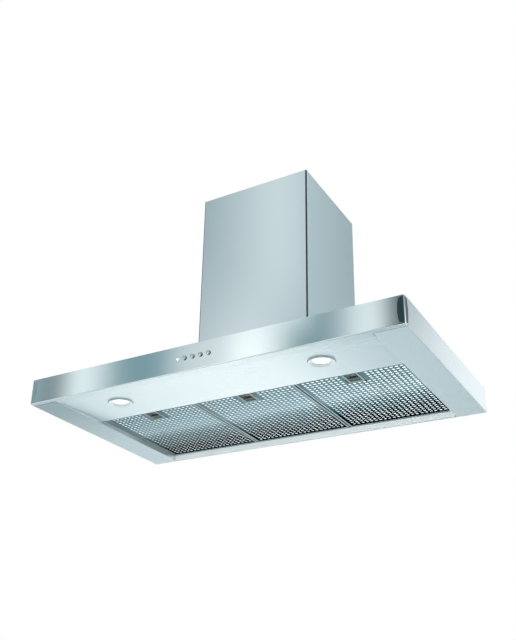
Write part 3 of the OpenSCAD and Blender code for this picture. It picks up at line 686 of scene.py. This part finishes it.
def ring(bm, x, y, w, l, z, round_r):
    """Twelve points round a rectangle with rounded corners."""
    points = []
    for qx, qy, a0 in ((1, 1, 0), (-1, 1, 90), (-1, -1, 180), (1, -1, 270)):
        for k in range(3):
            a = math.radians(a0 + 45 * k)
            px = x + qx * (w / 2 - round_r) + round_r * math.cos(a)
            py = y + qy * (l / 2 - round_r) + round_r * math.sin(a)
            points.append(bm.verts.new((px, py, z)))
    return points


def square(bm, x, y, w, l, z):
    """Twelve points round a rectangle with sharp corners, in the order that ring gives."""
    points = []
    for qx, qy in ((1, 1), (-1, 1), (-1, -1), (1, -1)):
        on_end = (x + qx * w / 2, y + qy * l / 4)
        on_side = (x + qx * w / 4, y + qy * l / 2)
        corner_point = (x + qx * w / 2, y + qy * l / 2)
        order = (on_end, corner_point, on_side) if qx * qy > 0 else (on_side, corner_point, on_end)
        points += [bm.verts.new((px, py, z)) for px, py in order]
    return points


def bridge(bm, a, b):
    for k in range(len(a)):
        m = (k + 1) % len(a)
        bm.faces.new((a[k], a[m], b[m], b[k]))


def plate(bm, x0, y0, x1, y1, heights):
    for z in heights:
        bm.faces.new([bm.verts.new(p) for p in ((x0, y0, z), (x1, y0, z), (x1, y1, z), (x0, y1, z))])


def perforated_face(s):
    """The cassette's face: a grid of rounded holes, left out round the latch."""
    low, high = mm("filter_face_" + s)
    frame_front = mm("filter_frame_" + s)[0].y
    cx, z0, z1 = (low.x + high.x) / 2, low.z, high.z
    half_columns, first_row = (columns - 1) // 2, frame_front + first_row_in
    bm = bmesh.new()
    for c in range(columns):
        for row in range(rows):
            x, y = cx + (c - half_columns) * pitch_x, first_row + row * pitch_y
            if abs(c - half_columns) <= clear_columns and row < clear_rows:
                continue
            rings = [square(bm, x, y, pitch_x, pitch_y, z0),
                     ring(bm, x, y, hole_w + 0.6, hole_l + 0.3, z0, 1.0),
                     ring(bm, x, y, hole_w + 0.2, hole_l, z0 + 0.25, 0.8),
                     ring(bm, x, y, hole_w + 0.2, hole_l, z1, 0.8),
                     square(bm, x, y, pitch_x, pitch_y, z1)]
            for a, b in zip(rings, rings[1:]):
                bridge(bm, a, b)
    faces = (z0, z1)
    grid_x0, grid_x1 = cx - columns / 2 * pitch_x, cx + columns / 2 * pitch_x
    grid_y0, grid_y1 = first_row - pitch_y / 2, first_row + (rows - 0.5) * pitch_y
    plate(bm, low.x, low.y, high.x, grid_y0, faces)
    plate(bm, low.x, grid_y1, high.x, high.y, faces)
    plate(bm, low.x, grid_y0, grid_x0, grid_y1, faces)
    plate(bm, grid_x1, grid_y0, high.x, grid_y1, faces)
    inner_x, inner_y = pocket_w / 2 + pocket_play, frame_front + pocket_end + pocket_play
    clear_x, clear_y = (clear_columns + 0.5) * pitch_x, first_row + (clear_rows - 0.5) * pitch_y
    plate(bm, cx - clear_x, grid_y0, cx - inner_x, clear_y, faces)
    plate(bm, cx + inner_x, grid_y0, cx + clear_x, clear_y, faces)
    plate(bm, cx - inner_x, inner_y, cx + inner_x, clear_y, faces)
    finish_mesh("filter_grille_" + s, bm, s + "_filter", "filter_face_metal", ["filter_face_" + s])


def foil(s, rng):
    """Three crumpled layers of foil behind the holes."""
    low, high = mm("filter_mesh_" + s)
    cx = (low.x + high.x) / 2
    bm = bmesh.new()
    for z, step in zip((low.z + foil_crease, (low.z + high.z) / 2, high.z - 0.5), foil_steps):
        nx, ny = int((high.x - low.x) / step), int((high.y - low.y) / step)
        verts = {}
        for i in range(nx + 1):
            for j in range(ny + 1):
                x = low.x + (high.x - low.x) * i / nx
                y = low.y + (high.y - low.y) * j / ny
                verts[i, j] = bm.verts.new((x, y, z + rng.uniform(-foil_crease, foil_crease)))
        for i in range(nx):
            for j in range(ny):
                x = low.x + (high.x - low.x) * (i + 0.5) / nx
                y = low.y + (high.y - low.y) * (j + 0.5) / ny
                if abs(x - cx) < latch_half_w and y < low.y + latch_depth:
                    continue
                bm.faces.new((verts[i, j], verts[i + 1, j], verts[i + 1, j + 1], verts[i, j + 1]))
    finish_mesh("filter_foil_" + s, bm, s + "_filter", "filter_mesh_metal", ["filter_mesh_" + s], angle=5)


def latch_coil(s):
    """The coil spring between a latch's pocket and its slider."""
    low, high = mm("latch_spring_" + s)
    centre = (low + high) / 2
    length = high.y - low.y - 2 * coil_wire
    bm = bmesh.new()
    rings = []
    steps = coil_turns * 16
    for k in range(steps + 1):
        a = 2 * math.pi * k / 16
        y = low.y + coil_wire + length * k / steps
        middle = Vector((centre.x + coil_r * math.cos(a), y, centre.z + coil_r * math.sin(a)))
        out_dir = Vector((math.cos(a), 0, math.sin(a)))
        turns = [2 * math.pi * q / 8 for q in range(8)]
        arms = [out_dir * math.cos(b) + Vector((0, 1, 0)) * math.sin(b) for b in turns]
        rings.append([bm.verts.new(middle + arm * coil_wire) for arm in arms])
    for a, b in zip(rings, rings[1:]):
        bridge(bm, a, b)
    bm.faces.new(rings[0])
    bm.faces.new(rings[-1])
    finish_mesh("latch_coil_" + s, bm, s + "_filter", "machined_steel", ["latch_spring_" + s], angle=60)


creases = random.Random(7)
for s in SIDES:
    perforated_face(s)
    foil(s, creases)
    latch_coil(s)

# ---------- stage, light, camera ----------

floor_z, floor_half = -0.9, 30
floor_mesh = bpy.data.meshes.new("floor")
floor_corners = [(x * floor_half, y * floor_half, 0) for x, y in ((-1, -1), (1, -1), (1, 1), (-1, 1))]
floor_mesh.from_pydata(floor_corners, [], [(0, 1, 2, 3)])
floor = bpy.data.objects.new("floor", floor_mesh)
floor.location.z = floor_z
bpy.context.scene.collection.objects.link(floor)
floor_paint = surface("floor_paint", (0.84, 0.85, 0.85), rough=(0.75, 0.85), grain=(30, 30, 30), vary=0.01,
                      bump=0.02, bump_size=0.001, Emission_Color=(1, 1, 1, 1))
# The floor brightens to white away from the hood, so that no horizon shows.
glow_start, glow_full, floor_glow = 2.6, 4.6, 0.75
paint = Tree(floor_paint.node_tree, clear=False)
distance = paint.add("ShaderNodeVectorMath", operation="LENGTH")
paint.link(paint.coordinates((1, 1, 0)), distance.inputs[0])
glow = paint.remap(distance.outputs["Value"], glow_start, glow_full, 0.0, floor_glow)
paint.link(glow, paint.shader("Emission Strength"))
floor_mesh.materials.append(floor_paint)
floor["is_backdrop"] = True

scene = bpy.context.scene
scene.view_settings.view_transform = "Standard"
world = bpy.data.worlds.new("studio")
scene.world = world
world.use_nodes = True
t = Tree(world.node_tree)
out = t.add("ShaderNodeOutputWorld")
direction = t.add("ShaderNodeTexCoord").outputs["Generated"]
parts = t.add("ShaderNodeSeparateXYZ")
t.link(direction, parts.inputs["Vector"])
behind_x, behind_y = (t.math("MULTIPLY", parts.outputs[axis], -1.0) for axis in "XY")
azimuth = t.math("ARCTAN2", behind_x, behind_y)
turn = t.remap(azimuth, -math.pi, math.pi, 0, 1)


def at(degrees):
    """Place on the ramp of a direction that many degrees from the front towards the left."""
    return (degrees + 180) / 360


# What the steel reflects: light and dark panels side by side round the hood, one set up to about 26
# degrees above the horizon and one over it, under an even dome.
dark = (0.022, 0.034, 0.040)
slate = (0.040, 0.066, 0.082)
low_bands = t.ramp(turn, [
    (at(-180), grey(1.12, 0.03)), (at(-162.2), grey(1.18, 0.03)), (at(-161.6), grey(0.8, 0.04)),
    (at(-161.15), slate), (at(-159.6), slate), (at(-159), (0.62, 0.73, 0.77)),
    (at(-148), (0.62, 0.73, 0.77)), (at(-142), slate), (at(-112), slate), (at(-106), grey(1.8)),
    (at(-36), grey(1.8)), (at(-30), slate), (at(19.8), slate), (at(20.3), grey(1.25, 0.05)),
    (at(23.0), grey(0.95, 0.05)), (at(24.5), (0.11, 0.23, 0.27)), (at(27.3), (0.12, 0.25, 0.29)),
    (at(28.7), grey(1.4)), (at(31.3), grey(1.3)), (at(32.0), grey(0.85, 0.05)),
    (at(35.0), grey(0.85, 0.05)), (at(36.4), (0.22, 0.36, 0.40)), (at(39.3), (0.20, 0.34, 0.38)),
    (at(40.9), grey(0.95, 0.04)), (at(42.95), grey(1.6, 0.03)), (at(43.15), (0.012, 0.035, 0.045)),
    (at(44.72), (0.012, 0.035, 0.045)), (at(44.95), (0.36, 0.48, 0.52)), (at(60), (0.45, 0.58, 0.62)),
    (at(110), (0.35, 0.45, 0.48)), (at(135), grey(0.7, 0.05)), (at(180), grey(1.0)),
])
high_bands = t.ramp(turn, [
    (at(-180), grey(1.0)), (at(-161.6), grey(0.78, 0.04)), (at(-161.1), slate),
    (at(-160), (0.14, 0.20, 0.22)), (at(-157), (0.25, 0.33, 0.36)), (at(-154), (0.80, 0.92, 0.97)),
    (at(-148), (0.70, 0.80, 0.84)), (at(-140), grey(0.22, 0.06)), (at(-135), grey(0.45, 0.05)),
    (at(2), grey(0.45, 0.05)), (at(12), dark), (at(19.8), slate), (at(20.3), grey(1.2, 0.05)),
    (at(23.0), grey(0.95, 0.05)), (at(24.2), (0.12, 0.24, 0.28)), (at(25.5), (0.13, 0.26, 0.30)),
    (at(26.3), grey(1.35, 0.03)), (at(28.5), grey(1.2, 0.04)), (at(31), grey(0.75, 0.06)),
    (at(33), (0.42, 0.53, 0.57)), (at(36), (0.32, 0.42, 0.46)), (at(60), (0.3, 0.4, 0.44)),
    (at(180), grey(0.8)),
])
rise = t.math("ARCSINE", parts.outputs["Z"])
dome_start, dome_full = math.radians(60), math.radians(82)
split_start, split_full = math.radians(25.8), math.radians(27.8)
high_up = t.remap(rise, dome_start, dome_full, 0, 1)
above = t.remap(rise, split_start, split_full, 0, 1)
split = t.add("ShaderNodeMix", data_type="RGBA")
t.link(above, split.inputs["Factor"])
t.link(low_bands, split.inputs[6])
t.link(high_bands, split.inputs[7])
dome = t.add("ShaderNodeMix", data_type="RGBA")
t.link(high_up, dome.inputs["Factor"])
t.link(split.outputs[2], dome.inputs[6])
dome.inputs[7].default_value = (0.85, 0.88, 0.9, 1)
background = t.add("ShaderNodeBackground")
t.link(dome.outputs[2], background.inputs["Color"])
background.inputs["Strength"].default_value = 1.0
white = t.add("ShaderNodeBackground")
white.inputs["Color"].default_value = (1, 1, 1, 1)
path = t.add("ShaderNodeLightPath")
mix = t.add("ShaderNodeMixShader")
t.link(path.outputs["Is Camera Ray"], mix.inputs["Fac"])
t.link(background.outputs["Background"], mix.inputs[1])
t.link(white.outputs["Background"], mix.inputs[2])
t.link(mix.outputs["Shader"], out.inputs["Surface"])


def area(name, place, towards, size, power, color=(1, 1, 1)):
    light = bpy.data.lights.new(name, "AREA")
    light.shape = "RECTANGLE"
    light.size, light.size_y = size
    light.energy = power
    light.color = color
    lamp = bpy.data.objects.new(name, light)
    lamp.location = place
    lamp.rotation_mode = "QUATERNION"
    lamp.rotation_quaternion = (Vector(towards) - Vector(place)).to_track_quat("-Z", "Y")
    scene.collection.objects.link(lamp)
    return lamp


overhead = area("overhead", (-0.6, -1.2, 3.6), (0, -0.25, 0.3), (2.4, 2.4), 60)
behind = area("behind", (-1.0, 1.6, 0.35), (-1.0, 1.6, -0.9), (0.5, 0.5), 12)
behind.visible_camera = False
under = area("under", (0.2, -0.4, -0.88), (0.2, -0.4, 1), (1.8, 1.2), 24, (0.96, 1, 1))
under.visible_camera = False
for light in (overhead, behind, under):
    light.visible_glossy = False

view_azimuth, view_rise, view_roll = (math.radians(a) for a in (-32.32, 25.04, 2.13))
level = Vector((math.sin(view_azimuth), math.cos(view_azimuth), 0))
forward = level * math.cos(view_rise) + Vector((0, 0, math.sin(view_rise)))
right = Vector((level.y, -level.x, 0))
up = right.cross(forward)
camera_x = math.cos(view_roll) * right + math.sin(view_roll) * up
camera_y = -math.sin(view_roll) * right + math.cos(view_roll) * up
camera_data = bpy.data.cameras.new("camera")
camera_data.lens = 49.39
camera_data.shift_x, camera_data.shift_y = 0.059, 0.039
camera = bpy.data.objects.new("camera", camera_data)
turned = Matrix((camera_x, camera_y, -forward)).transposed().to_4x4()
camera.matrix_world = Matrix.Translation((0.920, -1.862, -0.711)) @ turned
scene.collection.objects.link(camera)
scene.camera = camera

low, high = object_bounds()
